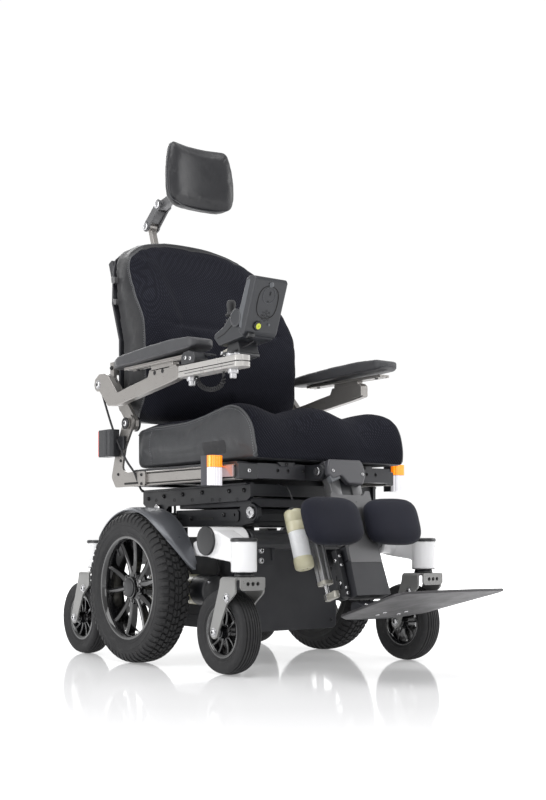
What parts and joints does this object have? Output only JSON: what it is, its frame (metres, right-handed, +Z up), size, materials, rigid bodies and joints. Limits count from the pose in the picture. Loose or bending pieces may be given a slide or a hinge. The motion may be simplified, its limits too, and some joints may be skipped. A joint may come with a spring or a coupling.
{
  "type": "power wheelchair",
  "caption": "Six-wheeled power wheelchair with tilting seat, reclining back, headrest, armrests, joystick and power elevating legrest.",
  "frame": {"origin": "on the floor, under the middle of the chair's bounding box; the drive axle is 168 mm behind it", "axes": "+Z up; the chair faces -Y; the occupant's left is +X"},
  "size_m": [0.63, 1.1378, 1.282],
  "materials": {
    "black_coat": "satin",
    "black_plastic": "satin",
    "battery_case": "matte",
    "motor_metal": "satin",
    "guard_grey": "satin",
    "white_coat": "gloss",
    "tyre_rubber": "matte",
    "black_gloss": "gloss",
    "fork_grey": "satin",
    "champagne_alu": "satin",
    "bright_steel": "satin",
    "clear_lens": "gloss",
    "red_lens": "gloss",
    "moulded_grey": "matte",
    "navy_fabric": "matte",
    "spacer_mesh": "matte",
    "headrest_skin": "satin",
    "control_plastic": "satin",
    "rubber_black": "matte",
    "button_grey": "satin",
    "actuator_cream": "satin",
    "plate_black": "satin"
  },
  "bodies": {
    "chassis": {"chassis_frame": "black_coat", "front_shroud": "black_plastic", "battery_front": "battery_case", "battery_rear": "battery_case", "control_module": "battery_case", "motor_left": "motor_metal", "motor_right": "motor_metal", "mudguard_left": "guard_grey", "mudguard_right": "guard_grey", "tilt_base": "black_coat"},
    "drive_wheel_left": {"drive_tyre_left": "tyre_rubber", "drive_rim_left": "black_gloss"},
    "front_arm_left": {"front_arm_left": "white_coat"},
    "caster_fork_front_left": {"caster_fork_front_left": "fork_grey"},
    "caster_wheel_front_left": {"caster_tyre_front_left": "tyre_rubber", "caster_rim_front_left": "black_gloss"},
    "rear_arm_left": {"rear_arm_left": "white_coat"},
    "caster_fork_rear_left": {"caster_fork_rear_left": "fork_grey"},
    "caster_wheel_rear_left": {"caster_tyre_rear_left": "tyre_rubber", "caster_rim_rear_left": "black_gloss"},
    "drive_wheel_right": {"drive_tyre_right": "tyre_rubber", "drive_rim_right": "black_gloss"},
    "front_arm_right": {"front_arm_right": "white_coat"},
    "caster_fork_front_right": {"caster_fork_front_right": "fork_grey"},
    "caster_wheel_front_right": {"caster_tyre_front_right": "tyre_rubber", "caster_rim_front_right": "black_gloss"},
    "rear_arm_right": {"rear_arm_right": "white_coat"},
    "caster_fork_rear_right": {"caster_fork_rear_right": "fork_grey"},
    "caster_wheel_rear_right": {"caster_tyre_rear_right": "tyre_rubber", "caster_rim_rear_right": "black_gloss"},
    "seat": {"tilt_frame": "black_coat", "seat_frame": "champagne_alu", "seat_cushion": "spacer_mesh", "front_light_left": "clear_lens", "front_light_right": "clear_lens", "rear_light_left": "red_lens", "rear_light_right": "red_lens"},
    "back": {"back_frame": "champagne_alu", "back_shell": "black_plastic", "back_cushion": "spacer_mesh"},
    "headrest_post": {"headrest_post": "champagne_alu"},
    "headrest_link": {"headrest_link": "champagne_alu"},
    "headrest_pad": {"headrest_pad": "headrest_skin"},
    "armrest_left": {"armrest_bar_left": "champagne_alu", "armrest_pad_left": "moulded_grey"},
    "armrest_right": {"armrest_bar_right": "champagne_alu", "armrest_pad_right": "moulded_grey"},
    "joystick_link": {"joystick_swing_link": "champagne_alu"},
    "joystick_module": {"joystick_housing": "control_plastic"},
    "joystick_gimbal": {"joystick_gimbal": "rubber_black"},
    "joystick_stick": {"joystick_stick": "rubber_black"},
    "power_button": {"power_button": "button_grey"},
    "mode_button": {"mode_button": "button_grey"},
    "legrest": {"legrest_upper": "champagne_alu", "legrest_actuator": "actuator_cream"},
    "legrest_lower": {"legrest_lower": "black_plastic", "actuator_rod": "bright_steel"},
    "footplate": {"footplate": "plate_black"},
    "calf_pad_left": {"calf_pad_left": "navy_fabric"},
    "calf_pad_right": {"calf_pad_right": "navy_fabric"}
  },
  "joints": [
    {"name": "drive_wheel_left_spin", "type": "hinge", "parent": "chassis", "child": "drive_wheel_left", "pos_m": [0.277, 0.16787, 0.172], "axis": [1, 0, 0], "continuous": true},
    {"name": "front_arm_left_swing", "type": "hinge", "parent": "chassis", "child": "front_arm_left", "pos_m": [0.24, -0.12513, 0.279], "axis": [1, 0, 0], "range_deg": [-7, 7], "stiffness_Nm_per_rad": 4000},
    {"name": "caster_front_left_swivel", "type": "hinge", "parent": "front_arm_left", "child": "caster_fork_front_left", "pos_m": [0.257, -0.21613, 0.205], "axis": [0, 0, 1], "continuous": true},
    {"name": "caster_front_left_spin", "type": "hinge", "parent": "caster_fork_front_left", "child": "caster_wheel_front_left", "pos_m": [0.257, -0.16213, 0.09], "axis": [1, 0, 0], "continuous": true},
    {"name": "rear_arm_left_swing", "type": "hinge", "parent": "chassis", "child": "rear_arm_left", "pos_m": [0.24, 0.25287, 0.245], "axis": [1, 0, 0], "range_deg": [-2.5, 7], "stiffness_Nm_per_rad": 4000},
    {"name": "caster_rear_left_swivel", "type": "hinge", "parent": "rear_arm_left", "child": "caster_fork_rear_left", "pos_m": [0.257, 0.38587, 0.205], "axis": [0, 0, 1], "range_deg": [-80, 80]},
    {"name": "caster_rear_left_spin", "type": "hinge", "parent": "caster_fork_rear_left", "child": "caster_wheel_rear_left", "pos_m": [0.257, 0.43987, 0.09], "axis": [1, 0, 0], "continuous": true},
    {"name": "drive_wheel_right_spin", "type": "hinge", "parent": "chassis", "child": "drive_wheel_right", "pos_m": [-0.277, 0.16787, 0.172], "axis": [1, 0, 0], "continuous": true},
    {"name": "front_arm_right_swing", "type": "hinge", "parent": "chassis", "child": "front_arm_right", "pos_m": [-0.24, -0.12513, 0.279], "axis": [1, 0, 0], "range_deg": [-7, 7], "stiffness_Nm_per_rad": 4000},
    {"name": "caster_front_right_swivel", "type": "hinge", "parent": "front_arm_right", "child": "caster_fork_front_right", "pos_m": [-0.257, -0.21613, 0.205], "axis": [0, 0, 1], "continuous": true},
    {"name": "caster_front_right_spin", "type": "hinge", "parent": "caster_fork_front_right", "child": "caster_wheel_front_right", "pos_m": [-0.257, -0.16213, 0.09], "axis": [1, 0, 0], "continuous": true},
    {"name": "rear_arm_right_swing", "type": "hinge", "parent": "chassis", "child": "rear_arm_right", "pos_m": [-0.24, 0.25287, 0.245], "axis": [1, 0, 0], "range_deg": [-2.5, 7], "stiffness_Nm_per_rad": 4000},
    {"name": "caster_rear_right_swivel", "type": "hinge", "parent": "rear_arm_right", "child": "caster_fork_rear_right", "pos_m": [-0.257, 0.38587, 0.205], "axis": [0, 0, 1], "range_deg": [-80, 80]},
    {"name": "caster_rear_right_spin", "type": "hinge", "parent": "caster_fork_rear_right", "child": "caster_wheel_rear_right", "pos_m": [-0.257, 0.43987, 0.09], "axis": [1, 0, 0], "continuous": true},
    {"name": "seat_tilt", "type": "hinge", "parent": "chassis", "child": "seat", "pos_m": [0, 0.22987, 0.352], "axis": [-1, 0, 0], "range_deg": [0, 45]},
    {"name": "back_recline", "type": "hinge", "parent": "seat", "child": "back", "pos_m": [0, 0.26287, 0.557], "axis": [-1, 0, 0], "range_deg": [-10, 40]},
    {"name": "headrest_height", "type": "slide", "parent": "back", "child": "headrest_post", "axis": [0, 0.3231, 0.9463], "range_m": [0, 0.08]},
    {"name": "headrest_link_swing", "type": "hinge", "parent": "headrest_post", "child": "headrest_link", "pos_m": [0, 0.55587, 1.122], "axis": [-1, 0, 0], "range_deg": [-5, 35]},
    {"name": "headrest_pad_tilt", "type": "hinge", "parent": "headrest_link", "child": "headrest_pad", "pos_m": [0, 0.49787, 1.168], "axis": [-1, 0, 0], "range_deg": [-12, 18]},
    {"name": "armrest_left_flip", "type": "hinge", "parent": "back", "child": "armrest_left", "pos_m": [0.27, 0.34887, 0.655], "axis": [-1, 0, 0], "range_deg": [0, 100]},
    {"name": "armrest_right_flip", "type": "hinge", "parent": "back", "child": "armrest_right", "pos_m": [-0.27, 0.34887, 0.655], "axis": [-1, 0, 0], "range_deg": [0, 100]},
    {"name": "joystick_swing", "type": "hinge", "parent": "armrest_right", "child": "joystick_link", "pos_m": [-0.29, -0.07413, 0.64], "axis": [0, 0, -1], "range_deg": [0, 90]},
    {"name": "joystick_module_turn", "type": "hinge", "parent": "joystick_link", "child": "joystick_module", "pos_m": [-0.29, -0.22413, 0.64], "axis": [0, 0, -1], "range_deg": [-90, 0]},
    {"name": "joystick_pitch", "type": "hinge", "parent": "joystick_module", "child": "joystick_gimbal", "pos_m": [-0.247, -0.15813, 0.722], "axis": [1, 0, 0], "range_deg": [-18, 18], "stiffness_Nm_per_rad": 0.6},
    {"name": "joystick_roll", "type": "hinge", "parent": "joystick_gimbal", "child": "joystick_stick", "pos_m": [-0.247, -0.15813, 0.722], "axis": [0, 1, 0], "range_deg": [-18, 18], "stiffness_Nm_per_rad": 0.6},
    {"name": "power_button_press", "type": "slide", "parent": "joystick_module", "child": "power_button", "axis": [0, -0.9125, -0.4091], "range_m": [0, 0.0015], "stiffness_N_per_m": 400},
    {"name": "mode_button_press", "type": "slide", "parent": "joystick_module", "child": "mode_button", "axis": [0, -0.9125, -0.4091], "range_m": [0, 0.0015], "stiffness_N_per_m": 400},
    {"name": "legrest_elevate", "type": "hinge", "parent": "seat", "child": "legrest", "pos_m": [0, -0.21713, 0.428], "axis": [-1, 0, 0], "range_deg": [0, 70]},
    {"name": "legrest_extend", "type": "slide", "parent": "legrest", "child": "legrest_lower", "axis": [0, -0.3285, -0.9445], "range_m": [0, 0.075]},
    {"name": "footplate_flip", "type": "hinge", "parent": "legrest_lower", "child": "footplate", "pos_m": [0, -0.31013, 0.146], "axis": [-1, 0, 0], "range_deg": [0, 75]},
    {"name": "calf_pad_left_swing", "type": "hinge", "parent": "legrest", "child": "calf_pad_left", "pos_m": [0.054, -0.25655, 0.31466], "axis": [0, 0.3285, 0.9445], "range_deg": [0, 25]},
    {"name": "calf_pad_right_swing", "type": "hinge", "parent": "legrest", "child": "calf_pad_right", "pos_m": [-0.054, -0.25655, 0.31466], "axis": [0, -0.3285, -0.9445], "range_deg": [0, 25]}
  ],
  "couplings": [
    {"joint": "joystick_module_turn", "follows": "joystick_swing", "ratio": -1},
    {"joint": "legrest_extend", "follows": "legrest_elevate", "m_per_rad": 0.049111}
  ]
}
